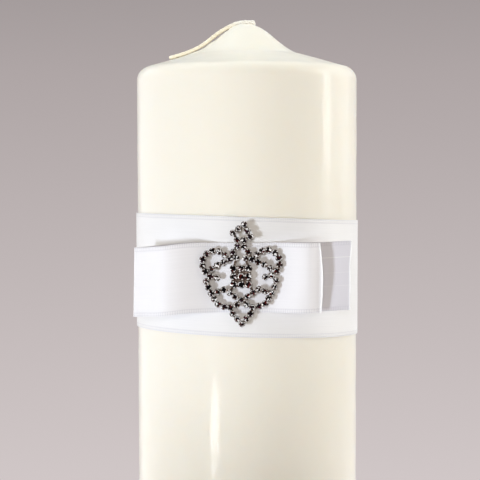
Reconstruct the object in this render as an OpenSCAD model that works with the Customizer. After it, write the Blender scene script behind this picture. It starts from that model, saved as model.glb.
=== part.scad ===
// Unity candle with a ribbon band, a folded ribbon bow and a rhinestone brooch.
// Millimetres. The origin is the middle of the base, Z runs up the candle,
// the brooch faces -Y and the creased wick lies toward -X.

/* [Candle] */
// diameter of the finished candle
candle_d = 76.2; // [50:0.1:102]
// height from the base to the wax peak
candle_h = 228.6; // [150:0.1:305]
// fall of the low cone of the top, as drop over run
dome_slope = 0.262; // [0.1:0.002:0.5]
// height of the raised peak above the low cone
peak_rise = 6.2; // [0:0.1:15]
// radius where the raised peak starts to fall away
peak_in = 2; // [0:0.5:6]
// radius where the raised peak has run out
peak_out = 18; // [10:0.5:30]
// roundness of the very tip
tip_r = 3; // [1:0.5:8]
// radius of the rounded shoulder
shoulder_r = 6; // [2:0.5:12]
// thickness of the hard glossy overdip
coat_t = 0.9; // [0.5:0.1:2]

/* [Wick] */
// width of the flat braid
wick_w = 2.2; // [1.2:0.1:4]
// thickness of the flat braid
wick_t = 1.2; // [0.6:0.1:2]
// distance of the wick from the candle axis, toward +X
wick_x = 2.3; // [1.6:0.1:4]
// height of the crease above the wax peak
crease_h = 0.7; // [0.6:0.1:3]
// clear space between the crease and the laid-down length
crease_gap = 0.2; // [0.1:0.05:0.5]
// diameter of the drilled wick hole
wick_hole_d = 2.8; // [2.6:0.1:5]
// diameter of the steel sustainer disc in the base
sustainer_d = 20; // [12:0.5:30]
// thickness of the sustainer sheet
sustainer_t = 0.4; // [0.2:0.1:1]
// height of the sustainer's crimped neck
neck_h = 6; // [3:0.5:12]
// wall of the crimped neck
neck_wall = 0.3; // [0.2:0.05:0.6]

/* [Band] */
// width of the wide ribbon
band_w = 39.2; // [15:0.1:76]
// thickness of the wide ribbon
band_t = 0.3; // [0.2:0.05:0.8]
// clear space between the wide ribbon and the wax
band_gap = 0.2; // [0.15:0.05:0.6]
// height of the band's middle at the axis
band_z = 142.3; // [60:0.1:180]
// sideways tilt of the band, left side up
band_roll = 2; // [-5:0.1:5]
// fore-and-aft tilt of the band, front up
band_pitch = 2; // [-5:0.1:5]
// angle by which the ends overlap at the back, to each side
lap_a = 12; // [6:1:24]
// thickness of the tape in the overlap
tape_t = 0.12; // [0.05:0.01:0.3]

/* [Bow] */
// width of the bow ribbon
bow_w = 22.7; // [10:0.1:38]
// thickness of the bow ribbon
bow_t = 0.3; // [0.2:0.05:0.8]
// height of the bow's middle line
bow_z = 143.6; // [60:0.1:180]
// drop of the folded end below the middle line
bow_drop = 1.9; // [0:0.1:4]
// distance left of the axis where the drop begins
drop_from = 17; // [10:0.5:24]
// angle where the bow leaves the candle at the left
pinch_from_a = -12; // [-16:1:-8]
// angle where the bow leaves the candle at the right
pinch_to_a = 8; // [4:1:14]
// length of the loop, from the pinch to the fold
loop_len = 28.2; // [18:0.1:40]
// distance between the two layers at the fold
fold_rise = 2.4; // [1:0.1:4]
// distance of the loop's crest from the pinch
left_crest = 17.5; // [8:0.5:17.5]
// height of the loop's crest above the back layer
left_puff = 8; // [2.5:0.1:9]
// distance of the front tail's crest from the pinch
right_crest = 13.5; // [8:0.5:16]
// height of the front tail's crest above the back layer
right_puff = 6.3; // [2:0.1:9]
// length of the front tail, from the pinch to its cut end
front_tail = 17.4; // [16.5:0.1:26]
// height of the front tail's cut end above the back layer
front_end_rise = 4.9; // [1:0.1:9]
// length of the back tail, from the pinch to its cut end
back_tail = 28.5; // [20:0.1:36]
// thickness of the glue between band, bow and bow layers
glue_t = 0.3; // [0.2:0.05:0.6]

/* [Brooch] */
// angle of the brooch round the candle
brooch_a = -2.9; // [-10:0.1:10]
// height of the brooch's middle
brooch_z = 144; // [60:0.1:180]
// lean of the brooch, top to the right
brooch_lean = -0.9; // [-5:0.1:5]
// lean of the crown finial on the brooch
crown_lean = 14; // [-15:1:15]
// thickness of the frame
frame_t = 0.7; // [0.5:0.05:1.2]
// width of the frame's rails
rail_w = 0.8; // [0.6:0.05:1]
// width of the frame's pads behind the cups
boss_d = 1.6; // [1.3:0.05:1.8]
// width of a small cup across its corners
cup_d = 2.05; // [1.6:0.05:2.05]
// width of a middle cup across its corners
mid_cup_d = 2.3; // [2:0.05:2.35]
// sideways pitch of the middle block of stones
mid_u = 2.4; // [2.4:0.05:2.8]
// upright pitch of the middle block of stones
mid_v = 2.6; // [2.4:0.05:2.8]
// height of the cups
cup_h = 0.9; // [0.6:0.05:1.5]
// how far the stones stand above the cups
stone_rise = 0.3; // [0.1:0.05:0.6]
// thickness of the glue behind the brooch
pad_t = 0.9; // [0.4:0.1:2]

/* [Hidden] */

eps = 0.02;
candle_r = candle_d / 2;
dome_a = atan(dome_slope);
// where the shoulder arc leaves the dome
join_r = candle_r - shoulder_r + shoulder_r * sin(dome_a);
shoulder_z = dome_z(join_r) - shoulder_r * cos(dome_a);
band_in_r = candle_r + band_gap;
back_r = band_in_r + band_t + glue_t + bow_t / 2;
pinch_rise = bow_t + glue_t;
brooch_y = back_r + pinch_rise + bow_t / 2 + pad_t;
pocket_wall = 0.1;
floor_t = 0.25;

// route of the laid-down wick: distance from the axis, height above the peak
wick_route = [[-0.6, 0.75], [-2.2, 0.6], [-3.8, 0.2], [-5.4, -0.5], [-7.2, -1.4],
    [-9.2, -2.6], [-11.2, -4], [-13.2, -5.6], [-15.4, -7.2], [-18.2, -8.7],
    [-21.2, -9.9], [-24, -10.8], [-26.8, -11.6]];

// smooth step from 0 to 1
function ease(t) = let (u = min(1, max(0, t))) u * u * (3 - 2 * u);

function mix(a, b, t) = a + (b - a) * t;

// height of the dome at a radius
function dome_z(r) = candle_h - dome_slope * (sqrt(r * r + tip_r * tip_r) - tip_r)
    - peak_rise * ease((r - peak_in) / (peak_out - peak_in));

// top profile from the axis to the start of the straight side, set in by an amount
function top_profile(inset) = let (
        drop = inset / cos(dome_a),
        last = join_r - inset * sin(dome_a),
        arc_r = shoulder_r - inset)
    concat(
        [for (i = [0:26]) let (r = last * i / 26) [r, dome_z(r) - drop]],
        [for (i = [1:7]) let (a = mix(dome_a, 90, i / 7))
            [candle_r - shoulder_r + arc_r * sin(a), shoulder_z + arc_r * cos(a)]]);

// a point in plan at a radius and an angle from the front, right side positive
function around(r, a) = [r * sin(a), -r * cos(a)];

// plan outline of a strip that keeps between two radii
function strip(r0, r1, a0, a1, n) = concat(
    [for (i = [0:n]) around(r0, mix(a0, a1, i / n))],
    [for (i = [n:-1:0]) around(r1, mix(a0, a1, i / n))]);

// outline of a sheet of a thickness along a centreline
function sheet_outline(line, t) = let (
        last = len(line) - 1,
        out = [for (i = [0:last]) let (
                d = line[min(i + 1, last)] - line[max(i - 1, 0)])
            [d[1], -d[0]] / norm(d) * t / 2])
    concat(
        [for (i = [0:last]) line[i] + out[i]],
        [for (i = [last:-1:0]) line[i] - out[i]]);

// inner radius of the band, which climbs over its own start at the back
function band_r(a) = band_in_r + (band_t + tape_t) * ease((a - 148 + lap_a) / 30);

// a point of the bow's plan: s runs along the back layer from the middle of the front,
// right side positive, and h is the height above the back layer
pinch_from_s = back_r * pinch_from_a * PI / 180;
pinch_to_s = back_r * pinch_to_a * PI / 180;
function on_bow(s, h) = let (
        held = min(pinch_to_s, max(pinch_from_s, s)),
        a = held / back_r * 180 / PI)
    around(back_r + h, a) + (s - held) * [cos(a), sin(a)];

// height of the front layer, at a distance past the pinch
function loop_rise(t) = t < left_crest
    ? mix(pinch_rise, left_puff, ease(t / left_crest))
    : mix(left_puff, fold_rise, ease((t - left_crest) / (loop_len - left_crest)));
function tail_rise(t) = t < right_crest
    ? mix(pinch_rise, right_puff, ease(t / right_crest))
    : mix(right_puff, front_end_rise, ease((t - right_crest) / (front_tail - right_crest)));

// how far the bow hangs below its middle line, further to the left the more
function drop(x) = bow_drop * ease((-drop_from - x) / (39 - drop_from));

// middle line of the bow's plan: back layer from its cut end, the fold, then the front layer
function bow_line() = let (
        rho = fold_rise / 2,
        mid = on_bow(pinch_from_s - loop_len, rho),
        away = -[cos(pinch_from_a), sin(pinch_from_a)],
        up = around(1, pinch_from_a))
    concat(
        [for (i = [0:7]) on_bow(pinch_to_s + back_tail * (1 - i / 8), 0)],
        [for (i = [0:10]) on_bow(mix(pinch_to_s, pinch_from_s, i / 10), 0)],
        [for (i = [1:8]) on_bow(pinch_from_s - loop_len * i / 8, 0)],
        [for (k = [30:30:150]) mid + rho * (sin(k) * away - cos(k) * up)],
        [for (i = [0:23]) let (t = loop_len * (1 - i / 24)) on_bow(pinch_from_s - t, loop_rise(t))],
        [for (i = [0:10]) on_bow(mix(pinch_from_s, pinch_to_s, i / 10), pinch_rise)],
        [for (i = [1:18]) let (t = front_tail * i / 18) on_bow(pinch_to_s + t, tail_rise(t))]);

// stone places on the right half of the brooch, in its own plane
function on_line(p, q, n, bulge = 0) = let (side = [q[1] - p[1], p[0] - q[0]] / norm(q - p))
    [for (i = [0:n - 1]) let (t = i / (n - 1)) mix(p, q, t) + side * bulge * 4 * t * (1 - t)];

function on_arc(c, r, a0, a1, n) =
    [for (i = [0:n - 1]) let (a = mix(a0, a1, i / (n - 1))) c + r * [cos(a), sin(a)]];

crown_foot = [0, 12];
function lean(p) = let (d = p - crown_foot, c = cos(crown_lean), s = sin(crown_lean))
    crown_foot + [d[0] * c + d[1] * s, d[1] * c - d[0] * s];

crown_side = on_line([0, 17.1], [2.85, 13.7], 3);
neck = [[1.05, 12], [1.05, 9.9]];
collar = [[2.45, 8.1]];
joint = [[3.5, 5.8]];
arch = [[1.45, 6.25]];
lobe = on_arc([8.4, 4.55], 4.1, 140, -40, 7);
lobe_inner = [[5.55, 4.85], [7.6, 4], [9.5, 2.75]];
curl = [[9.9, 0.4], [7.8, -0.05]];
side_row = on_line([11.3, -1.2], [7.6, -8.65], 5, -0.4);
loop_top = [[7.65, -4.65], [5.6, -3.95], [3.75, -4.95], [2.05, -6.3]];
loop_foot = [[5.6, -9.45], [3.55, -9.85]];
legs = [[1.6, -8.85]];
point_side = [[2.85, -11.85], [1.45, -13.5]];
keystone = [0, -7.35];
point_tip = [0, -15.1];
mid_at = [0, 0.2];

half_rows = [collar, joint, arch, lobe, lobe_inner, curl, side_row, loop_top, loop_foot, legs,
    point_side];

function flip(p) = [-p[0], p[1]];

function both(rows) = [for (row = rows) for (p = row) for (m = [0, 1]) m == 0 ? p : flip(p)];

crown_places = [for (p = concat(crown_side, [for (i = [1, 2]) flip(crown_side[i])])) lean(p)];
small_places = concat(crown_places, both([neck]), both(half_rows), [keystone, point_tip]);
mid_places = [for (i = [-1:1]) for (j = [-1:1]) mid_at + [i * mid_u, j * mid_v]];

// rails that join the cups, on the right half
half_rails = [
    concat(neck, collar, joint),
    concat(collar, arch, joint),
    concat(joint, lobe),
    concat(joint, lobe_inner, [lobe[6]]),
    concat([lobe[6]], curl),
    concat([curl[0]], side_row, loop_foot, point_side, [point_tip]),
    concat([side_row[2]], loop_top, [keystone]),
    concat([keystone], legs, [loop_foot[1]]),
    [loop_top[2], mid_at + [mid_u, -mid_v]],
    [arch[0], mid_at + [mid_u, mid_v]]];
cross_rails = [
    [flip(neck[0]), neck[0]],
    [flip(neck[1]), neck[1]]];
crown_rails = [
    [for (p = crown_side) lean(p)],
    [for (p = crown_side) lean(flip(p))],
    [lean(crown_side[2]), neck[0]],
    [lean(flip(crown_side[2])), flip(neck[0])]];
rails = concat(half_rails, [for (r = half_rails) [for (p = r) flip(p)]], cross_rails, crown_rails);

// rings of the laid-down wick, eight corners each
wick_line = concat([[wick_x - wick_t / 2 - crease_gap, crease_h]], wick_route);
wick_rings = let (last = len(wick_line) - 1) [for (i = [0:last]) let (
        d = wick_line[min(i + 1, last)] - wick_line[max(i - 1, 0)],
        n = [-d[1], d[0]] / norm(d))
    for (k = [0:7]) [
        wick_line[i][0] + n[0] * wick_t / 2 * sin(45 * k),
        wick_w / 2 * cos(45 * k),
        candle_h + wick_line[i][1] + n[1] * wick_t / 2 * sin(45 * k)]];
wick_faces = let (last = len(wick_line) - 1) concat(
    [[for (k = [0:7]) k]],
    [[for (k = [7:-1:0]) last * 8 + k]],
    [for (i = [0:last - 1]) for (k = [0:7]) let (m = (k + 1) % 8)
        for (tri = [0, 1]) tri == 0
            ? [i * 8 + k, (i + 1) * 8 + k, (i + 1) * 8 + m]
            : [i * 8 + k, (i + 1) * 8 + m, i * 8 + m]]);

// ivory wax body under the overdip, drilled for the wick
module wax_core() {
    color("ivory") difference() {
        rotate_extrude($fn = 120) polygon(concat(top_profile(coat_t), [[candle_r - coat_t, 0], [0, 0]]));
        translate([wick_x, 0, -1]) cylinder(h = candle_h + 2, d = wick_hole_d, $fn = 32);
        translate([wick_x, 0, -1]) cylinder(h = sustainer_t + 1, d = sustainer_d + 0.4, $fn = 64);
        translate([wick_x, 0, -1])
            cylinder(h = neck_h + 1.2, d = wick_hole_d + 2 * neck_wall + 0.2, $fn = 32);
    }
}

// hard glossy skin over the side, the shoulder and the peak
module overdip_coat() {
    outer = top_profile(0);
    inner = top_profile(coat_t);
    color("floralwhite") difference() {
        rotate_extrude($fn = 120) polygon(concat(
            outer, [[candle_r, 0], [candle_r - coat_t, 0]],
            [for (i = [len(inner) - 1:-1:0]) inner[i]]));
        translate([wick_x, 0, candle_h - 20]) cylinder(h = 40, d = wick_hole_d, $fn = 32);
    }
}

// straight length of the braid inside the wax, up to the crease
module wick() {
    color("wheat") translate([wick_x, 0, 0]) {
        translate([-wick_t / 2, -wick_w / 2, 0.1]) cube([wick_t, wick_w, candle_h + crease_h - 0.1]);
        translate([0, 0, candle_h + crease_h]) rotate([90, 0, 0])
            cylinder(h = wick_w, d = wick_t, center = true, $fn = 24);
    }
}

// length of the braid that is creased over and laid down the peak
module wick_tail() {
    color("wheat") polyhedron(points = wick_rings, faces = wick_faces, convexity = 6);
}

// steel disc with a crimped neck that holds the foot of the wick
module wick_sustainer() {
    color("silver") translate([wick_x, 0, 0]) difference() {
        union() {
            cylinder(h = sustainer_t, d = sustainer_d, $fn = 64);
            cylinder(h = neck_h, d = wick_hole_d + 2 * neck_wall, $fn = 32);
        }
        translate([0, 0, -1]) cylinder(h = neck_h + 2, d = wick_hole_d, $fn = 32);
    }
}

// slab of space that a tilted ribbon of a width takes up
module ribbon_level(z, w, roll, pitch) {
    translate([0, 0, z]) rotate([-pitch, roll, 0]) cube([140, 140, w], center = true);
}

// wide satin ribbon round the candle, lapped over itself at the back
module band_ribbon() {
    n = 96;
    turn = 180 + lap_a;
    path = [for (i = [0:n]) let (a = mix(-turn, turn, i / n)) [band_r(a), a]];
    color("white") intersection() {
        translate([0, 0, band_z - band_w]) linear_extrude(2 * band_w) polygon(concat(
            [for (p = path) around(p[0], p[1])],
            [for (i = [n:-1:0]) around(path[i][0] + band_t, path[i][1])]));
        ribbon_level(band_z, band_w, band_roll, band_pitch);
    }
}

// tape in the lap of the wide ribbon
module seam_tape() {
    r = band_in_r + band_t;
    color("gainsboro") intersection() {
        translate([0, 0, band_z - band_w]) linear_extrude(2 * band_w)
            polygon(strip(r + eps, r + tape_t - eps, 180 - lap_a + 4, 180 + lap_a - 3, 6));
        ribbon_level(band_z, band_w - 4, band_roll, band_pitch);
    }
}

// glue between the wide ribbon and the bow's back layer
module bow_back_glue() {
    r = band_in_r + band_t;
    color("lightyellow") translate([0, 0, brooch_z - 5]) linear_extrude(10)
        polygon(strip(r + eps, r + glue_t - eps, pinch_from_a, pinch_to_a, 8));
}

// everything between the bow's upper and lower edge, seen from the front
module bow_level() {
    places = concat([-60], [for (i = [0:10]) mix(-39, -drop_from, i / 10)], [60]);
    edges = [for (side = [1, -1]) [for (x = places) [x, bow_z + side * bow_w / 2 - drop(x)]]];
    rotate([90, 0, 0]) translate([0, 0, -100]) linear_extrude(200)
        polygon(concat(edges[0], [for (i = [len(places) - 1:-1:0]) edges[1][i]]));
}

// narrow satin ribbon folded once at the left, both cut ends at the right
module bow_ribbon() {
    color("snow") intersection() {
        translate([0, 0, bow_z - bow_w]) linear_extrude(2 * bow_w)
            polygon(sheet_outline(bow_line(), bow_t));
        bow_level();
    }
}

// glue that holds the bow's two layers together at the pinch
module bow_fold_glue() {
    r = back_r + bow_t / 2;
    color("lightyellow") translate([0, 0, brooch_z - 6]) linear_extrude(12)
        polygon(strip(r + eps, r + glue_t - eps, pinch_from_a + 3, pinch_to_a - 3, 6));
}

// places the children in the brooch's own plane, facing the front
module on_brooch(depth) {
    rotate([0, 0, brooch_a]) translate([0, -brooch_y - depth, brooch_z])
        rotate([90, 0, 0]) rotate([0, 0, -brooch_lean]) children();
}

// glue behind the brooch
module brooch_glue() {
    r = brooch_y - pad_t + eps;
    color("lightyellow") rotate([0, 0, brooch_a]) translate([0, 0, brooch_z - 2.8]) linear_extrude(6)
        polygon(concat([for (a = [-4:2:4]) around(r, a)], [[2.8, -brooch_y], [-2.8, -brooch_y]]));
}

// openwork frame of flat rails behind the cups, with a plate behind the middle block
module brooch_frame() {
    color("silver") on_brooch(0) linear_extrude(frame_t) union() {
        for (r = rails) for (i = [0:len(r) - 2]) {
            d = r[i + 1] - r[i];
            translate(r[i]) rotate(atan2(d[1], d[0])) translate([0, -rail_w / 2])
                square([norm(d), rail_w]);
        }
        for (p = small_places) translate(p) rotate(11) circle(d = boss_d, $fn = 8);
        translate(mid_at) square([2 * mid_u + boss_d, 2 * mid_v + boss_d], center = true);
    }
}

// one eight-sided cup with a flat floor
module cup(d) {
    difference() {
        rotate(22.5) cylinder(h = cup_h, d = d, $fn = 8);
        translate([0, 0, floor_t]) rotate(22.5) cylinder(h = cup_h, d = d - 4 * pocket_wall, $fn = 8);
    }
}

// one flat-backed stone with a bevelled crown
module stone(d) {
    rotate(22.5) cylinder(h = cup_h - floor_t - 0.2, d = d, $fn = 8);
    translate([0, 0, cup_h - floor_t - 0.2]) rotate(22.5)
        cylinder(h = stone_rise + 0.2, d1 = d, d2 = d * 0.55, $fn = 8);
}

// cups of the outline, the lobes, the crown and the point
module small_cups() {
    color("gainsboro") on_brooch(frame_t) for (p = small_places) translate(p) cup(cup_d);
}

// cups of the middle block
module middle_cups() {
    color("gainsboro") on_brooch(frame_t) for (p = mid_places) translate(p) cup(mid_cup_d);
}

// stones in the small cups
module small_stones() {
    color("lightsteelblue") on_brooch(frame_t + floor_t) for (p = small_places) translate(p)
        stone(cup_d - 4 * pocket_wall - 2 * eps);
}

// stones in the middle cups
module middle_stones() {
    color("lightsteelblue") on_brooch(frame_t + floor_t) for (p = mid_places) translate(p)
        stone(mid_cup_d - 4 * pocket_wall - 2 * eps);
}

wax_core();
overdip_coat();
wick();
wick_tail();
wick_sustainer();
band_ribbon();
seam_tape();
bow_back_glue();
bow_ribbon();
bow_fold_glue();
brooch_glue();
brooch_frame();
small_cups();
middle_cups();
small_stones();
middle_stones();
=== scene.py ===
import math

import bpy
from mathutils import Matrix, Vector


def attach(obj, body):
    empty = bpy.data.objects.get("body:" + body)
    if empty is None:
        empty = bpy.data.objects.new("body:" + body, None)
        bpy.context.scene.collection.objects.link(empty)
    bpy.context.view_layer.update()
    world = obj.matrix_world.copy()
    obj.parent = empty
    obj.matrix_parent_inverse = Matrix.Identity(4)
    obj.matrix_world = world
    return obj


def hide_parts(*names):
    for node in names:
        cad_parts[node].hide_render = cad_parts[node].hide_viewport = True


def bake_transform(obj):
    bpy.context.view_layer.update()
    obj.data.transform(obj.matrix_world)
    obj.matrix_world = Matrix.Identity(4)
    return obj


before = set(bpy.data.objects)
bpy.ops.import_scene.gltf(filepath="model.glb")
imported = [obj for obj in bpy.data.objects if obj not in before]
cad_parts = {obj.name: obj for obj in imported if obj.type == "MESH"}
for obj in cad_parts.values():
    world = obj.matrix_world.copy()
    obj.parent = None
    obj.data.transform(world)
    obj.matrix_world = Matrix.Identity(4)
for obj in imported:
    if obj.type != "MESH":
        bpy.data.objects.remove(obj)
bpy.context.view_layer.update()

MM = 0.001

# Candle, in millimetres
CANDLE_R = 38.1
PEAK_Z = 228.6
DOME_SLOPE = 0.262
PEAK_RISE = 6.2
PEAK_IN, PEAK_OUT = 2.0, 18.0
TIP_R = 3.0
SHOULDER_R = 5.0
RIM_DROOP, DROOP_IN, DROOP_OUT = 0.28, 20.0, 34.0

# Wick, in millimetres
WICK_X = 2.3
WICK_W, WICK_T = 2.2, 1.2
STRAND_R, PLAIT_T = 0.6, 1.44
WICK_ROUTE = [(1.5, 0.7), (-0.6, 0.75), (-2.2, 0.6), (-3.8, 0.2), (-5.4, -0.5), (-7.2, -1.4),
              (-9.2, -2.6), (-11.2, -4.0), (-13.2, -5.6), (-15.4, -7.2), (-18.2, -8.7),
              (-21.2, -9.9), (-24.0, -10.8), (-26.8, -11.6)]

# Wide ribbon, in millimetres and degrees
BAND_W, BAND_T, BAND_GAP = 39.2, 0.3, 0.2
BAND_Z, BAND_ROLL, BAND_PITCH = 142.3, 2.0, 2.0
LAP_A, TAPE_T = 12.0, 0.12
BAND_IN_R = CANDLE_R + BAND_GAP

# Bow ribbon, in millimetres and degrees
BOW_W, BOW_T = 22.7, 0.3
BOW_Z, BOW_DROP, DROP_FROM = 143.6, 1.9, 17.0
GLUE_T = 0.3
PINCH_FROM_A, PINCH_TO_A = -12.0, 8.0
LOOP_LEN, FOLD_RISE = 28.2, 2.4
LEFT_CREST, LEFT_PUFF = 17.5, 8.0
RIGHT_CREST, RIGHT_PUFF = 13.5, 6.3
FRONT_TAIL, FRONT_END_RISE = 17.4, 4.9
BACK_TAIL = 28.5
BACK_R = BAND_IN_R + BAND_T + GLUE_T + BOW_T / 2
PINCH_RISE = BOW_T + GLUE_T
PINCH_FROM_S = BACK_R * math.radians(PINCH_FROM_A)
PINCH_TO_S = BACK_R * math.radians(PINCH_TO_A)

# Brooch, in millimetres and degrees
BROOCH_A, BROOCH_Z, BROOCH_LEAN, CROWN_LEAN = -2.9, 144.0, -0.9, 14.0
PAD_T, FRAME_T = 0.9, 0.7
BROOCH_Y = BACK_R + PINCH_RISE + BOW_T / 2 + PAD_T
CUP_H, FLOOR_T, MID_U, MID_V = 0.9, 0.25, 2.4, 2.6


def ease(t):
    u = min(1.0, max(0.0, t))
    return u * u * (3 - 2 * u)


def mix(a, b, t):
    return a + (b - a) * t


def dome_z(r):
    low_cone = DOME_SLOPE * (math.sqrt(r * r + TIP_R * TIP_R) - TIP_R)
    droop = RIM_DROOP * ease((r - DROOP_IN) / (DROOP_OUT - DROOP_IN))
    return PEAK_Z - low_cone - PEAK_RISE * ease((r - PEAK_IN) / (PEAK_OUT - PEAK_IN)) - droop


def around(r, a):
    return r * math.sin(math.radians(a)), -r * math.cos(math.radians(a))


# Hand tools

def put_down():
    """Leave edit mode with nothing selected."""
    if bpy.context.object and bpy.context.object.mode != "OBJECT":
        bpy.ops.object.mode_set(mode="OBJECT")
    bpy.ops.object.select_all(action="DESELECT")


def pick_up(piece):
    put_down()
    piece.select_set(True)
    bpy.context.view_layer.objects.active = piece
    return piece


def named(name):
    piece = bpy.context.object
    piece.name = name
    piece.data.name = name
    return piece


def settle(piece):
    """Put the piece's place into its mesh."""
    pick_up(piece)
    bpy.ops.object.transform_apply(location=True, rotation=True, scale=True)
    return piece


def finish_with(piece, kind, **settings):
    """Add a modifier and apply it."""
    pick_up(piece)
    modifier = piece.modifiers.new(kind.lower(), kind)
    for key, value in settings.items():
        setattr(modifier, key, value)
    bpy.ops.object.modifier_apply(modifier=modifier.name)
    return piece


def open_up(piece):
    """Go into edit mode with every corner selected."""
    pick_up(piece)
    bpy.ops.object.mode_set(mode="EDIT")
    bpy.ops.mesh.select_mode(type="VERT")
    bpy.ops.mesh.select_all(action="SELECT")


def choose(piece, test, kind="FACE"):
    """Select the parts of a mesh in edit mode whose middle passes a test."""
    bpy.ops.mesh.select_mode(type=kind)
    bpy.ops.mesh.select_all(action="DESELECT")
    bpy.ops.object.mode_set(mode="OBJECT")
    for part in piece.data.polygons if kind == "FACE" else piece.data.vertices:
        part.select = bool(test(part.center if kind == "FACE" else part.co))
    bpy.ops.object.mode_set(mode="EDIT")


def join(pieces, name):
    put_down()
    for piece in pieces:
        piece.select_set(True)
    bpy.context.view_layer.objects.active = pieces[0]
    bpy.ops.object.join()
    return named(name)


def smooth(piece, angle=40):
    pick_up(piece)
    bpy.ops.object.shade_smooth_by_angle(angle=math.radians(angle))
    return piece


# Shader tools

class Channel:
    """A shader value that takes part in Python sums."""

    def __init__(self, finish, socket):
        self.finish, self.socket = finish, socket

    def sum(self, operation, a, b):
        return self.finish.add("ShaderNodeMath", {"operation": operation}, {0: a, 1: b})

    def __add__(self, other): return self.sum("ADD", self, other)
    def __radd__(self, other): return self.sum("ADD", other, self)
    def __sub__(self, other): return self.sum("SUBTRACT", self, other)
    def __rsub__(self, other): return self.sum("SUBTRACT", other, self)
    def __mul__(self, other): return self.sum("MULTIPLY", self, other)
    def __rmul__(self, other): return self.sum("MULTIPLY", other, self)
    def __truediv__(self, other): return self.sum("DIVIDE", self, other)
    def __pow__(self, other): return self.sum("POWER", self, other)
    def __gt__(self, other): return self.sum("GREATER_THAN", self, other)
    def __lt__(self, other): return self.sum("LESS_THAN", self, other)


class Finish:
    """A material built node by node round one Principled shader."""

    def __init__(self, name, **constants):
        self.material = bpy.data.materials.new(name)
        self.material.use_nodes = True
        self.tree = self.material.node_tree
        self.shader = self.tree.nodes["Principled BSDF"]
        for key, value in constants.items():
            self.shader.inputs[key.replace("_", " ")].default_value = value

    def add(self, kind, settings=None, sockets=None, out=0):
        node = self.tree.nodes.new(kind)
        for key, value in (settings or {}).items():
            if key == "stops":
                while len(node.color_ramp.elements) < len(value):
                    node.color_ramp.elements.new(0.5)
                for stop, (place, colour) in zip(node.color_ramp.elements, value):
                    stop.position, stop.color = place, (*colour, 1.0)
            else:
                setattr(node, key, value)
        for key, value in (sockets or {}).items():
            if isinstance(value, Channel):
                self.tree.links.new(value.socket, node.inputs[key])
            else:
                node.inputs[key].default_value = value
        return Channel(self, node.outputs[out])

    def feed(self, **sockets):
        for key, value in sockets.items():
            self.tree.links.new(value.socket, self.shader.inputs[key.replace("_", " ")])
        return self.material

    def place(self):
        return self.add("ShaderNodeTexCoord", out="Object")

    def along(self, across=False):
        uv = self.add("ShaderNodeTexCoord", out="UV")
        return self.add("ShaderNodeSeparateXYZ", sockets={0: uv}, out="Y" if across else "X")

    def noise(self, scale, detail=2.0, rough=0.5, vector=None):
        return self.add("ShaderNodeTexNoise", sockets={
            "Vector": vector or self.place(), "Scale": scale, "Detail": detail, "Roughness": rough})

    def stretch(self, scale, vector=None):
        return self.add("ShaderNodeMapping", sockets={"Vector": vector or self.place(), "Scale": scale})

    def blend(self, factor, a, b):
        return self.add("ShaderNodeMix", {"data_type": "RGBA"},
                        {"Factor": factor, 6: a if isinstance(a, Channel) else (*a, 1.0),
                         7: b if isinstance(b, Channel) else (*b, 1.0)}, out=2)

    def relief(self, height, distance, strength=1.0):
        return self.add("ShaderNodeBump", sockets={
            "Height": height, "Distance": distance, "Strength": strength})

    def wave(self, value, period):
        return self.sin(value * (2 * math.pi / period))

    def sin(self, value):
        return self.add("ShaderNodeMath", {"operation": "SINE"}, {0: value})


# Finishes

def ivory_wax(name, roughness, coat):
    wax = Finish(name, Subsurface_Weight=0.5, Subsurface_Radius=(0.009, 0.008, 0.007),
                 Subsurface_Scale=0.25, Coat_Roughness=0.08, Coat_IOR=1.44, IOR=1.44,
                 Specular_IOR_Level=0.3)
    cloud = wax.noise(16.0, 3.0)
    fleck = wax.noise(240.0, 2.0)
    ripple = wax.noise(45.0, 2.0)
    tone = wax.blend(cloud, (0.882, 0.841, 0.752), (0.916, 0.877, 0.791))
    tone = wax.blend(fleck * 0.12, tone, (0.93, 0.903, 0.828))
    return wax.feed(Base_Color=tone, Roughness=roughness + cloud * 0.08 + fleck * 0.04,
                    Coat_Weight=coat + cloud * 0.1,
                    Normal=wax.relief(ripple * 0.8 + fleck * 0.06, 0.0006, 0.35))


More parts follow.
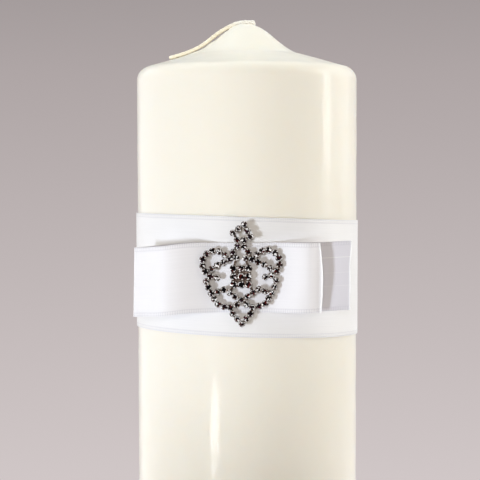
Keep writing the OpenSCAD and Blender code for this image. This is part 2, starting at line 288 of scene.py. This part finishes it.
def satin(name, length, width, tint, tick=0.3, dull_and_shade=0.0):
    """White ribbon satin with its fine lengthwise yarns and a bound edge on both sides."""
    cloth = Finish(name, Sheen_Weight=0.25, Sheen_Roughness=0.35, Specular_IOR_Level=0.5)
    u, v = cloth.along() * length, cloth.along(across=True) * width
    run = cloth.add("ShaderNodeCombineXYZ", sockets={0: u * 60.0, 1: v * 5200.0})
    yarns = cloth.noise(1.0, 2.0, 0.6, run)
    slubs = cloth.noise(1.0, 1.0, 0.5, cloth.add("ShaderNodeCombineXYZ", sockets={0: u * 25.0, 1: v * 900.0}))
    edge = cloth.add("ShaderNodeMath", {"operation": "MINIMUM"}, {0: v, 1: width - v})
    end = cloth.add("ShaderNodeMath", {"operation": "MINIMUM"}, {0: u, 1: length - u})
    bound = edge < 0.0012
    groove_and_shade = (edge > 0.0011) * (edge < 0.0014) + (edge > 0.0002) * (edge < 0.0004)
    ticks = (cloth.wave(u, 0.00078) > 0.35) * bound
    tone = cloth.blend(yarns, [0.91 * c for c in tint], tint)
    tone = cloth.blend(slubs * 0.2, tone, (0.82, 0.82, 0.86))
    # Painted shade darkens the grooves along each bound edge; the ticks are the edge's own weave.
    tone = cloth.blend(groove_and_shade * 0.3 + ticks * tick, tone, (0.62, 0.61, 0.68))
    # The reverse face is rougher, and its greyer colour is partly its own duller tone and partly painted shade on
    # the bow's back layer.
    if dull_and_shade:
        tone = cloth.blend(yarns * 0.3 + dull_and_shade, tone, (0.66, 0.64, 0.72))
        for place, share in ((0.77, 0.7), (0.55, 0.25), (0.36, 0.25)):
            thread = (v > (place - 0.004) * width) * (v < (place + 0.004) * width)
            tone = cloth.blend(thread * share, tone, (0.97, 0.97, 0.97))
    # Painted highlight: a near-white line along both cut ends.
    tone = cloth.blend((end < 0.00035) * 0.8, tone, (0.97, 0.97, 0.975))
    height = yarns * 0.5 + slubs * 0.4 - groove_and_shade * 1.2 + ticks * 0.6
    return cloth.feed(Base_Color=tone, Roughness=0.36 + dull_and_shade * 0.4 + yarns * 0.12,
                      Normal=cloth.relief(height, 0.00008, 0.5))


def waxed_cotton():
    yarn = Finish("waxed_cotton", Sheen_Weight=0.2, Sheen_Roughness=0.5)
    place = yarn.place()
    ply = yarn.noise(1.0, 2.0, 0.6, yarn.stretch((900.0, 2600.0, 2600.0), place))
    soak = yarn.noise(220.0, 2.0, 0.5, place)
    x = yarn.add("ShaderNodeSeparateXYZ", sockets={0: place}, out="X")
    bare = yarn.add("ShaderNodeMapRange", {"interpolation_type": "SMOOTHSTEP"},
                    {"Value": x, "From Min": -0.002, "From Max": -0.008})
    tone = yarn.blend(ply, (0.86, 0.76, 0.56), (0.96, 0.90, 0.73))
    tone = yarn.blend(soak * 0.35, tone, (0.93, 0.88, 0.76))
    tone = yarn.blend(bare, (0.92, 0.89, 0.81), tone)
    return yarn.feed(Base_Color=tone, Roughness=0.42 + ply * 0.2,
                     Normal=yarn.relief(ply, 0.00015, 0.6))


def silver_plate(name, grain):
    metal = Finish(name)
    wear = metal.noise(900.0, 3.0)
    grey = metal.add("ShaderNodeMapRange", sockets={
        "Value": metal.noise(grain, 2.0), "From Min": 0.38, "From Max": 0.66})
    painted_glint = metal.add("ShaderNodeAttribute", {"attribute_name": "facet"}, out="Fac")
    tone = metal.blend(grey, (0.07, 0.05, 0.04), (0.50, 0.42, 0.35))
    # Painted glint: the claws turn near-white and half as metallic.
    tone = metal.blend(painted_glint, tone, (0.93, 0.92, 0.91))
    return metal.feed(Base_Color=tone, Metallic=1.0 - painted_glint * 0.5, Roughness=0.12 + wear * 0.16,
                      Normal=metal.relief(wear, 0.00004, 0.3))


def cut_crystal():
    """Foil-backed glass with painted reflections: each face keeps a fixed dark, red or white tone."""
    glass = Finish("cut_crystal", Coat_Weight=0.15, Coat_Roughness=0.02)
    facet = glass.add("ShaderNodeAttribute", {"attribute_name": "facet"}, out="Fac")
    grain = glass.noise(1500.0, 1.0)
    # Painted reflections and glints: mostly black, some dark red or brown, a few near-white faces that are hardly
    # metallic.
    tone = glass.add("ShaderNodeValToRGB", {"stops": [
        (0.0, (0.001, 0.001, 0.001)), (0.26, (0.003, 0.002, 0.003)), (0.33, (0.07, 0.022, 0.05)),
        (0.40, (0.003, 0.002, 0.003)), (0.48, (0.003, 0.002, 0.003)), (0.55, (0.24, 0.03, 0.02)),
        (0.62, (0.005, 0.004, 0.005)), (0.72, (0.14, 0.09, 0.065)), (0.79, (0.97, 0.97, 0.98))]},
        {0: facet + (grain - 0.5) * 0.06})
    return glass.feed(Base_Color=tone, Metallic=0.95 - (facet > 0.76) * 0.8, Roughness=0.04 + grain * 0.06)


def tin_plate():
    tin = Finish("tin_plate", Metallic=1.0)
    spangle = tin.add("ShaderNodeTexVoronoi", sockets={"Vector": tin.place(), "Scale": 600.0}, out="Color")
    scratch = tin.noise(1.0, 2.0, 0.6, tin.stretch((300.0, 6000.0, 300.0)))
    tone = tin.blend(scratch, (0.52, 0.52, 0.53), (0.70, 0.70, 0.71))
    tone = tin.blend(0.12, tone, spangle)
    return tin.feed(Base_Color=tone, Roughness=0.26 + scratch * 0.2, Normal=tin.relief(scratch, 0.00005, 0.3))


def set_glue(name, tone_a, tone_b, roughness):
    glue = Finish(name, Subsurface_Weight=0.3, Subsurface_Radius=(0.002, 0.002, 0.001), Subsurface_Scale=0.5)
    lump = glue.noise(500.0, 3.0)
    return glue.feed(Base_Color=glue.blend(lump, tone_a, tone_b), Roughness=roughness + lump * 0.15,
                     Normal=glue.relief(lump, 0.0002, 0.4))


# Wax

def top_profile():
    """Radius and height from the foot of the shoulder to the tip, in millimetres."""
    slope = math.atan(DOME_SLOPE)
    join_r = CANDLE_R - SHOULDER_R + SHOULDER_R * math.sin(slope)
    low_z = dome_z(join_r) - SHOULDER_R * math.cos(slope)
    rings = []
    for i in range(15):
        a = mix(math.pi / 2, slope, i / 14)
        rings.append((CANDLE_R - SHOULDER_R + SHOULDER_R * math.sin(a), low_z + SHOULDER_R * math.cos(a)))
    for i in range(1, 53):
        r = join_r * (1 - i / 53)
        rings.append((r, dome_z(r)))
    return low_z, rings


def wax_skin():
    """Hard outer wax: a ring at the foot, drawn up to the tip ring by ring."""
    put_down()
    bpy.ops.mesh.primitive_circle_add(vertices=192, radius=37.3 * MM, location=(0, 0, 0.5 * MM))
    piece = settle(named("wax_skin"))
    open_up(piece)
    low_z, top = top_profile()
    side = [(CANDLE_R - 0.7, 0.02), (CANDLE_R - 0.3, 0.1), (CANDLE_R - 0.08, 0.35), (CANDLE_R, 0.8)]
    side += [(CANDLE_R, mix(0.8, low_z, i / 80)) for i in range(1, 80)]
    last_r, last_z = 37.3, 0.5
    for r, z in side + top:
        bpy.ops.mesh.extrude_region_move(TRANSFORM_OT_translate={"value": (0, 0, (z - last_z) * MM)})
        bpy.ops.transform.resize(value=(r / last_r, r / last_r, 1), center_override=(0, 0, z * MM))
        last_r, last_z = r, z
    bpy.ops.mesh.merge(type="CENTER")
    bpy.ops.mesh.select_all(action="SELECT")
    bpy.ops.mesh.normals_make_consistent(inside=False)
    bpy.ops.object.mode_set(mode="OBJECT")
    open_up(piece)
    for low, high, lift, spread in ((-18.5, -13.0, 0.75, 4), (-12.0, -7.5, 0.35, 4), (-5.5, 1.6, 0.5, 1.7),
                                   (-27.0, -21.0, 0.3, 3)):
        choose(piece, lambda c: low * MM < c.x < high * MM and abs(c.y) < 0.8 * MM and c.z > 0.2, "VERT")
        bpy.ops.transform.translate(value=(0, 0, lift * MM), use_proportional_edit=True,
                                    proportional_edit_falloff="SMOOTH", proportional_size=spread * MM)
    bpy.ops.object.mode_set(mode="OBJECT")
    for name, scale, strength in (("dip_swell", 0.035, 0.00016), ("dip_ripple", 0.0085, 0.00027)):
        waves = bpy.data.textures.new(name, "CLOUDS")
        waves.noise_scale = scale
        finish_with(piece, "DISPLACE", texture=waves, texture_coords="LOCAL", strength=strength, mid_level=0.5)
    smooth(piece, 60)
    piece.data.materials.append(ivory_wax("overdip_wax", 0.32, 0.3))
    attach(piece, "candle")
    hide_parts("overdip_coat")
    return piece


# Wick

def wick_line():
    """Points of the wick's middle from inside the tip, over the crease and down the slope."""
    line = [(WICK_X, PEAK_Z - 1.2), (WICK_X, PEAK_Z - 0.2), (WICK_X, PEAK_Z + 0.5),
            (WICK_X - 0.2, PEAK_Z + 0.84)]
    return line + [(x, PEAK_Z + z) for x, z in WICK_ROUTE]


def along_line(line, step):
    """Evenly spaced points of a smooth line through the given ones, with their directions."""
    fine = []
    for i in range(len(line) - 1):
        p = [line[max(0, min(len(line) - 1, i + k))] for k in (-1, 0, 1, 2)]
        for j in range(24):
            t = j / 24
            w = (-0.5 * t + t * t - 0.5 * t ** 3, 1 - 2.5 * t * t + 1.5 * t ** 3,
                 0.5 * t + 2 * t * t - 1.5 * t ** 3, -0.5 * t * t + 0.5 * t ** 3)
            fine.append(tuple(sum(w[k] * p[k][c] for k in range(4)) for c in (0, 1)))
    fine.append(line[-1])
    run = [0.0]
    for a, b in zip(fine, fine[1:]):
        run.append(run[-1] + math.dist(a, b))
    count = int(run[-1] / step)
    points, i = [], 0
    for n in range(count + 1):
        want = run[-1] * n / count
        while i < len(run) - 2 and run[i + 1] < want:
            i += 1
        t = (want - run[i]) / max(run[i + 1] - run[i], 1e-9)
        a, b = fine[i], fine[i + 1]
        d = math.dist(a, b)
        points.append((mix(a[0], b[0], t), mix(a[1], b[1], t), (b[0] - a[0]) / d, (b[1] - a[1]) / d))
    return points, run[-1]


def wick_braid():
    """Three waxed strands plaited flat."""
    points, length = along_line(wick_line(), 0.16)
    strands = []
    for k in range(3):
        curve = bpy.data.curves.new("wick_strand", "CURVE")
        curve.dimensions = "3D"
        curve.bevel_depth = STRAND_R * MM
        curve.bevel_resolution = 2
        curve.use_fill_caps = True
        spline = curve.splines.new("POLY")
        cut = len(points) - (0, 2, 1)[k]
        spline.points.add(cut - 1)
        for i in range(cut):
            x, z, dx, dz = points[i]
            turn = 2 * math.pi * (i / (len(points) - 1) * length / 5.4 + k / 3)
            side = (WICK_W / 2 - STRAND_R) * math.sin(turn)
            lift = (PLAIT_T / 2 - STRAND_R) * math.sin(2 * turn)
            spline.points[i].co = ((x - dz * lift) * MM, side * MM, (z + dx * lift) * MM, 1)
        strand = bpy.data.objects.new("wick_strand", curve)
        bpy.context.collection.objects.link(strand)
        pick_up(strand)
        bpy.ops.object.convert(target="MESH")
        strands.append(bpy.context.object)
    piece = smooth(join(strands, "wick_braid"), 60)
    piece.data.materials.append(waxed_cotton())
    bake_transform(piece)
    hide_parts("wick_tail")
    round(length * MM, 4)
    [(x * MM, 0, z * MM) for x, z, _, _ in points[::3] + points[-1:]]
    return piece


def wick_core():
    """Straight length of the braid inside the wax."""
    put_down()
    bpy.ops.mesh.primitive_cylinder_add(vertices=16, radius=MM, depth=226.8 * MM,
                                        location=(WICK_X * MM, 0, 113.6 * MM))
    piece = named("wick_core")
    piece.scale = (WICK_T / 2, WICK_W / 2, 1)
    settle(piece)
    open_up(piece)
    choose(piece, lambda c: c.z < 1 * MM)
    bpy.ops.mesh.inset(thickness=0.15 * MM)
    bpy.ops.transform.translate(value=(0, 0, 0.12 * MM))
    bpy.ops.object.mode_set(mode="OBJECT")
    smooth(piece)
    piece.data.materials.append(bpy.data.materials["waxed_cotton"])
    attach(piece, "candle")
    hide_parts("wick")
    return piece


# Ribbons

def level(x, y, w, z0, roll, pitch):
    """Height of a point of a tilted ribbon that is w above the ribbon's middle line."""
    roll, pitch = math.radians(roll), math.radians(pitch)
    nx, ny, nz = math.cos(pitch) * math.sin(roll), math.sin(pitch), math.cos(pitch) * math.cos(roll)
    return z0 + (w - nx * x - ny * y) / nz


def strip_of_cloth(name, steps, rows, shape):
    """A flat grid laid out by shape(u, v), u along the ribbon and v across, both 0 to 1."""
    put_down()
    bpy.ops.mesh.primitive_grid_add(x_subdivisions=steps, y_subdivisions=rows, size=1)
    piece = named(name)
    for vertex in piece.data.vertices:
        vertex.co = Vector(shape(vertex.co.x + 0.5, vertex.co.y + 0.5)) * MM
    return piece


def band():
    turn = 180 + LAP_A

    def shape(u, v):
        a = mix(-turn, turn, u)
        r = BAND_IN_R + BAND_T / 2 + (BAND_T + TAPE_T) * ease((a - 148 + LAP_A) / 30)
        x, y = around(r, a)
        w = (v - 0.5) * BAND_W
        return x, y, level(x, y, w, BAND_Z, BAND_ROLL, BAND_PITCH)

    piece = strip_of_cloth("satin_band", 288, 30, shape)
    length = 2 * math.radians(turn) * (BAND_IN_R + BAND_T / 2) * MM
    piece.data.materials.append(satin("band_satin", length, BAND_W * MM, (0.90, 0.893, 0.903), 0.14))
    finish_with(piece, "SOLIDIFY", thickness=BAND_T * MM, offset=0.0, use_even_offset=True)
    smooth(piece, 50)
    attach(piece, "wrap")
    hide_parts("band_ribbon")
    return piece


def on_bow(along, height):
    """A point of the bow's plan: along the back layer from the front, and out from it."""
    held = min(PINCH_TO_S, max(PINCH_FROM_S, along))
    a = math.degrees(held / BACK_R)
    x, y = around(BACK_R + height, a)
    return x + (along - held) * math.cos(math.radians(a)), y + (along - held) * math.sin(math.radians(a))


def loop_rise(t):
    if t < LEFT_CREST:
        return mix(PINCH_RISE, LEFT_PUFF, ease(t / LEFT_CREST))
    return mix(LEFT_PUFF, FOLD_RISE, ease((t - LEFT_CREST) / (LOOP_LEN - LEFT_CREST)))


def tail_rise(t):
    if t < RIGHT_CREST:
        return mix(PINCH_RISE, RIGHT_PUFF, ease(t / RIGHT_CREST))
    return mix(RIGHT_PUFF, FRONT_END_RISE, ease((t - RIGHT_CREST) / (FRONT_TAIL - RIGHT_CREST)))


def bow_line():
    """Plan of the folded ribbon: back layer from its cut end, the fold, then the front layer."""
    rho = FOLD_RISE / 2
    mx, my = on_bow(PINCH_FROM_S - LOOP_LEN, rho)
    ux, uy = around(1, PINCH_FROM_A)
    tx, ty = -math.cos(math.radians(PINCH_FROM_A)), -math.sin(math.radians(PINCH_FROM_A))
    start, end = PINCH_TO_S + BACK_TAIL, PINCH_FROM_S - LOOP_LEN
    line = [on_bow(mix(start, end, i / 130), 0) for i in range(131)]
    for k in range(10, 180, 10):
        s, c = math.sin(math.radians(k)), math.cos(math.radians(k))
        line.append((mx + rho * (s * tx - c * ux), my + rho * (s * ty - c * uy)))
    line += [on_bow(PINCH_FROM_S - t, loop_rise(t)) for t in (LOOP_LEN * (1 - i / 60) for i in range(60))]
    line += [on_bow(mix(PINCH_FROM_S, PINCH_TO_S, i / 20), PINCH_RISE) for i in range(20)]
    line += [on_bow(PINCH_TO_S + t, tail_rise(t)) for t in (FRONT_TAIL * i / 40 for i in range(41))]
    return line


def bow():
    points, length = along_line(bow_line(), 0.25)

    def shape(u, v):
        x, y, dx, dy = points[min(len(points) - 1, int(round(u * (len(points) - 1))))]
        w = (v - 0.5) * BOW_W
        hang = ease((-DROP_FROM - x) / (39 - DROP_FROM))
        start, end = u * length, (1 - u) * length
        curl = 0.2 * max(0.0, 1 - min(start, end) / 0.6) ** 2
        reach = (1.05 * (1 - ((v - 0.42) / 0.58) ** 2) * ease(1 - end / 6)
                 - 0.5 * ease((v - 0.6) / 0.4) * ease(1 - start / 6))
        sink = 1.3 * ease(1 - v / 0.6) * ease(1 - end / 12)
        x, y = x + reach * dx, y + reach * dy - curl + sink
        return x + 0.02 * hang * w, y, BOW_Z - BOW_DROP * hang + 0.35 * ease(1 - start / 10) + w

    piece = strip_of_cloth("satin_bow", len(points) - 1, 24, shape)
    tint = (0.935, 0.925, 0.965)
    piece.data.materials.append(satin("bow_satin", length * MM, BOW_W * MM, tint))
    piece.data.materials.append(satin("bow_satin_reverse", length * MM, BOW_W * MM, tint, dull_and_shade=0.42))
    finish_with(piece, "SOLIDIFY", thickness=BOW_T * MM, offset=0.0, use_even_offset=True, material_offset=1)
    smooth(piece, 50)
    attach(piece, "wrap")
    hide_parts("bow_ribbon")
    length * MM
    return piece


# Brooch

def on_line(p, q, n, bulge=0.0):
    d = math.dist(p, q)
    side = ((q[1] - p[1]) / d, (p[0] - q[0]) / d)
    return [(mix(p[0], q[0], t) + side[0] * bulge * 4 * t * (1 - t),
             mix(p[1], q[1], t) + side[1] * bulge * 4 * t * (1 - t)) for t in (i / (n - 1) for i in range(n))]


def on_arc(c, r, a0, a1, n):
    turns = [math.radians(mix(a0, a1, i / (n - 1))) for i in range(n)]
    return [(c[0] + r * math.cos(a), c[1] + r * math.sin(a)) for a in turns]


def stone_places():
    """Places of the small and of the middle stones in the brooch's plane, in millimetres."""
    half = [(1.05, 12), (1.05, 9.9), (2.45, 8.1), (3.5, 5.8), (1.45, 6.25)]
    half += on_arc((8.4, 4.55), 4.1, 140, -40, 7)
    half += [(5.55, 4.85), (7.6, 4), (9.5, 2.75), (9.9, 0.4), (7.8, -0.05)]
    half += on_line((11.3, -1.2), (7.6, -8.65), 5, -0.4)
    half += [(7.65, -4.65), (5.6, -3.95), (3.75, -4.95), (2.05, -6.3)]
    half += [(5.6, -9.45), (3.55, -9.85), (1.6, -8.85), (2.85, -11.85), (1.45, -13.5)]
    small = half + [(-u, v) for u, v in half] + [(0, -7.35), (0, -15.1)]
    c, s = math.cos(math.radians(CROWN_LEAN)), math.sin(math.radians(CROWN_LEAN))
    for u, v in on_line((0, 17.1), (2.85, 13.7), 3) + on_line((-1.425, 15.4), (-2.85, 13.7), 2):
        small.append((u * c + (v - 12) * s, 12 + (v - 12) * c - u * s))
    middle = [(i * MID_U, 0.2 + j * MID_V) for i in (-1, 0, 1) for j in (-1, 0, 1)]
    return small, middle


def on_brooch(u, v, depth):
    """A point of the brooch's own plane, depth millimetres in front of its back."""
    lean, turn = math.radians(-BROOCH_LEAN), math.radians(BROOCH_A)
    a, b = u * math.cos(lean) - v * math.sin(lean), u * math.sin(lean) + v * math.cos(lean)
    y = -BROOCH_Y - depth
    return ((a * math.cos(turn) - y * math.sin(turn)) * MM, (a * math.sin(turn) + y * math.cos(turn)) * MM,
            (BROOCH_Z + b) * MM)


def set_out(pattern, places, depth, name, sway=0.0):
    """Copy a pattern, made facing up at the origin, to each place on the brooch."""
    copies = []
    for i, (u, v) in enumerate(places):
        copy = pattern.copy()
        copy.data = pattern.data.copy()
        bpy.context.collection.objects.link(copy)
        facing = Matrix.Rotation(math.radians(BROOCH_A), 4, "Z") @ Matrix.Rotation(math.radians(90), 4, "X")
        tip = Matrix.Rotation(math.radians(sway * math.sin(i * 2.4)), 4, "X")
        spin = Matrix.Rotation(math.radians(i * 137.5), 4, "Z")
        copy.matrix_world = Matrix.Translation(on_brooch(u, v, depth)) @ facing @ tip @ spin
        copies.append(copy)
    bpy.data.objects.remove(pattern)
    return settle(join(copies, name))


def cup_pattern(radius):
    """A claw cup: a tapered pan with four claws bent in over the stone."""
    put_down()
    bpy.ops.mesh.primitive_cylinder_add(vertices=16, radius=radius * MM, depth=CUP_H * MM,
                                        location=(0, 0, CUP_H / 2 * MM))
    piece = settle(named("cup_pattern"))
    open_up(piece)
    choose(piece, lambda c: c.z < 0.01 * MM)
    bpy.ops.transform.resize(value=(0.8, 0.8, 1), center_override=(0, 0, 0))
    choose(piece, lambda c: c.z > (CUP_H - 0.01) * MM)
    bpy.ops.mesh.inset(thickness=0.13 * MM)
    bpy.ops.mesh.extrude_region_move(TRANSFORM_OT_translate={"value": (0, 0, -0.6 * MM)})
    claw = lambda c: (c.z > (CUP_H - 0.01) * MM and math.hypot(c.x, c.y) > 0.6 * radius * MM
                      and (math.degrees(math.atan2(c.y, c.x)) % 90) < 22)
    choose(piece, claw)
    bpy.ops.mesh.extrude_region_move(TRANSFORM_OT_translate={"value": (0, 0, 0.22 * MM)})
    bpy.ops.transform.resize(value=(0.92, 0.92, 1), center_override=(0, 0, 0))
    bpy.ops.mesh.extrude_region_move(TRANSFORM_OT_translate={"value": (0, 0, 0.1 * MM)})
    bpy.ops.transform.resize(value=(0.78, 0.78, 1), center_override=(0, 0, 0))
    bpy.ops.object.mode_set(mode="OBJECT")
    paint_claw_glints(piece, (CUP_H + 0.01) * MM)
    return piece


def stone_pattern(radius):
    """A cut stone: girdle, two rows of facets and a flat table."""
    put_down()
    bpy.ops.mesh.primitive_circle_add(vertices=8, radius=radius * MM, fill_type="NGON", location=(0, 0, 0.02 * MM))
    piece = settle(named("stone_pattern"))
    open_up(piece)
    last = 1.0
    for lift, size, turn in ((0.55, 1.0, 0.0), (0.2, 0.9, 22.5), (0.11, 0.74, 22.5)):
        bpy.ops.mesh.extrude_region_move(TRANSFORM_OT_translate={"value": (0, 0, lift * MM)})
        bpy.ops.transform.resize(value=(size / last, size / last, 1), center_override=(0, 0, 0))
        if turn:
            bpy.ops.transform.rotate(value=math.radians(turn), orient_axis="Z", center_override=(0, 0, 0))
        last = size
    choose(piece, lambda c: 0.05 * MM < c.z < 0.86 * MM)
    bpy.ops.mesh.quads_convert_to_tris()
    choose(piece, lambda c: c.z > 0.86 * MM)
    bpy.ops.mesh.poke()
    bpy.ops.mesh.select_all(action="SELECT")
    bpy.ops.mesh.normals_make_consistent(inside=False)
    bpy.ops.object.mode_set(mode="OBJECT")
    return piece


def paint_reflection_tones(piece, depth):
    """Give each face a fixed painted reflection value from 0 to 1, lowered by a power on the flat tables."""
    tone = piece.data.attributes.new("facet", "FLOAT", "FACE")
    front = Vector((*around(1, BROOCH_A), 0))
    for i, face in enumerate(piece.data.polygons):
        value = (math.sin(i * 12.9898 + 4.1) * 43758.5453) % 1.0
        tone.data[i].value = value ** depth if face.normal.dot(front) > 0.95 else value


def paint_claw_glints(piece, height):
    """Mark the faces of the claws, which get a painted glint."""
    tone = piece.data.attributes.new("facet", "FLOAT", "FACE")
    for i, face in enumerate(piece.data.polygons):
        tone.data[i].value = 1.0 if face.center.z > height else 0.0


def brooch_settings():
    small, middle = stone_places()
    silver, crystal = silver_plate("silver_plate", 260.0), cut_crystal()
    for places, cup_r, stone_r, depth, size in ((small, 1.1, 0.99, 1.9, "small"),
                                                (middle, 1.24, 1.14, 4.0, "middle")):
        cups = set_out(cup_pattern(cup_r), places, FRAME_T, size + "_claw_cups")
        smooth(cups, 30)
        cups.data.materials.append(silver)
        stones = set_out(stone_pattern(stone_r), places, FRAME_T + FLOOR_T, size + "_cut_stones", 5.0)
        paint_reflection_tones(stones, depth)
        stones.data.materials.append(crystal)
        for piece, node, slot in ((cups, size + "_cups", "silver_tone"), (stones, size + "_stones", "crystal")):
            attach(piece, "wrap")
            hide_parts(node)


# Carried-over solids

def dress(node, material):
    piece = bpy.data.objects[node]
    piece.data.materials.clear()
    piece.data.materials.append(material)


# Stage

def floor():
    put_down()
    bpy.ops.mesh.primitive_circle_add(vertices=128, radius=0.27, fill_type="NGON", location=(0, 0, -0.0002))
    piece = settle(named("floor"))
    open_up(piece)
    bpy.ops.mesh.inset(thickness=0.09)
    bpy.ops.object.mode_set(mode="OBJECT")
    paper = Finish("floor_paper", Roughness=0.7)
    place = paper.place()
    away = paper.add("ShaderNodeVectorMath", {"operation": "LENGTH"}, {0: place}, out="Value")
    grain = paper.noise(300.0, 2.0)
    shown = paper.add("ShaderNodeMapRange", {"interpolation_type": "SMOOTHSTEP"},
                      {"Value": away, "From Min": 0.268, "From Max": 0.16})
    piece.data.materials.append(paper.feed(
        Base_Color=paper.blend(grain, (0.64, 0.60, 0.60), (0.68, 0.64, 0.64)), Alpha=shown))


def backdrop():
    world = bpy.data.worlds.new("backdrop")
    bpy.context.scene.world = world
    world.use_nodes = True
    tree = world.node_tree
    for node in list(tree.nodes):
        tree.nodes.remove(node)
    new, link = tree.nodes.new, tree.links.new
    split = new("ShaderNodeSeparateXYZ")
    link(new("ShaderNodeTexCoord").outputs["Generated"], split.inputs[0])
    height = new("ShaderNodeMapRange")
    height.inputs["From Min"].default_value = -0.45
    height.inputs["From Max"].default_value = 0.25
    link(split.outputs["Z"], height.inputs["Value"])
    # Painted light falloff: the backdrop seen by the camera and in reflections is darker towards the top.
    paper = new("ShaderNodeValToRGB")
    stops = [(0.0, (0.72, 0.66, 0.66)), (0.339, (0.631, 0.571, 0.571)), (0.72, (0.429, 0.381, 0.381)),
             (0.79, (0.375, 0.335, 0.335)), (1.0, (0.25, 0.225, 0.225))]
    while len(paper.color_ramp.elements) < len(stops):
        paper.color_ramp.elements.new(0.5)
    for stop, (place, colour) in zip(paper.color_ramp.elements, stops):
        stop.position, stop.color = place, (*colour, 1.0)
    link(height.outputs[0], paper.inputs[0])
    seen, soft = new("ShaderNodeBackground"), new("ShaderNodeBackground")
    link(paper.outputs[0], seen.inputs[0])
    side = new("ShaderNodeMapRange")
    side.interpolation_type = "SMOOTHSTEP"
    for key, value in (("From Min", -1.0), ("From Max", 1.0), ("To Min", 0.27), ("To Max", 0.40)):
        side.inputs[key].default_value = value
    link(split.outputs["X"], side.inputs["Value"])
    soft.inputs[0].default_value = (1.0, 0.89, 0.72, 1.0)
    link(side.outputs[0], soft.inputs[1])
    rays = new("ShaderNodeLightPath")
    either = rays.outputs["Is Camera Ray"]
    for kind in ("Is Glossy Ray", "Is Transmission Ray"):
        larger = new("ShaderNodeMath")
        larger.operation = "MAXIMUM"
        link(either, larger.inputs[0])
        link(rays.outputs[kind], larger.inputs[1])
        either = larger.outputs[0]
    swap = new("ShaderNodeMixShader")
    link(either, swap.inputs[0])
    link(soft.outputs[0], swap.inputs[1])
    link(seen.outputs[0], swap.inputs[2])
    link(swap.outputs[0], new("ShaderNodeOutputWorld").inputs[0])


def lamp(name, place, aim, size, power, colour=(1, 1, 1), shows="both", cone=None, shape="RECTANGLE"):
    """A soft panel, or a spot where a cone is given; shows says if it lights, gleams or both."""
    light = bpy.data.lights.new(name, "SPOT" if cone else "AREA")
    if cone:
        light.shadow_soft_size = size
        light.spot_size, light.spot_blend = math.radians(cone[0]), cone[1]
    else:
        light.shape = shape
        light.size, light.size_y = size
    light.energy = power
    light.color = colour
    piece = bpy.data.objects.new(name, light)
    bpy.context.collection.objects.link(piece)
    piece.location = place
    piece.rotation_euler = (Vector(aim) - Vector(place)).to_track_quat("-Z", "Y").to_euler()
    piece.visible_camera = False
    piece.visible_glossy = shows != "light"
    piece.visible_diffuse = shows != "gleam"


def studio():
    floor()
    backdrop()
    middle = (0, 0, 0.14)
    lamp("key", (-0.41, -0.63, 0.06), (0, 0, 0.27), 0.05, 12.0, (0.82, 0.90, 1.0), "light", (33.0, 0.35))
    lamp("key_gleam", (-0.42, -0.63, -0.042), middle, (0.16, 0.06), 0.48, shows="gleam", shape="ELLIPSE")
    lamp("front_fill", (-0.05, -0.9, 0.3), (0, 0, 0.27), 0.08, 8.0, (1.0, 0.955, 0.88), "light", (28.8, 0.3))
    lamp("left_panel", (-0.72, 0.25, 0.2), middle, (1.2, 0.9), 1.9)
    lamp("left_wash", (-0.62, 0.42, 0.2), middle, (0.7, 0.9), 1.5, shows="gleam")
    lamp("left_low", (-0.6, -0.16, 0.05), (0, 0, 0.042), 0.04, 4.2, shows="light", cone=(11.0, 1.0))
    lamp("overhead", (-0.05, 0.32, 1.05), (0, 0, 0.2), (0.8, 0.8), 9.1, (0.86, 0.95, 1.0), "light")
    lamp("right_panel", (0.745, 0.23, 0.3), middle, (0.4, 0.7), 5.5, (0.93, 0.97, 1.0), "light")
    lamp("right_gleam", (0.779, -0.02, 0.46), middle, (0.18, 0.66), 2.65, shows="gleam")
    lamp("right_wash", (0.7, 0.34, 0.46), middle, (0.5, 0.66), 1.1, shows="gleam")
    camera = bpy.data.cameras.new("camera")
    camera.sensor_width = 36.0
    camera.lens = 36.0 * 1500 / 480
    camera.clip_start = 0.01
    piece = bpy.data.objects.new("camera", camera)
    bpy.context.collection.objects.link(piece)
    piece.location = (-0.00241, -0.52423, 0.18295)
    piece.rotation_euler = (math.radians(90 - 3.2), math.radians(0.1), 0)
    bpy.context.scene.camera = piece
    bpy.context.scene.view_settings.view_transform = "Standard"


studio()
wick_braid()
wick_core()
wax_skin()
band()
bow()
brooch_settings()
dress("wax_core", ivory_wax("core_wax", 0.45, 0.05))
dress("wick_sustainer", tin_plate())
dress("brooch_frame", silver_plate("pitted_plate", 1400.0))
dress("seam_tape", set_glue("clear_tape", (0.78, 0.77, 0.72), (0.84, 0.83, 0.79), 0.2))
glue = set_glue("set_glue", (0.72, 0.68, 0.55), (0.80, 0.76, 0.64), 0.25)
for pad in ("bow_back_glue", "bow_fold_glue", "brooch_glue"):
    dress(pad, glue)

put_down()
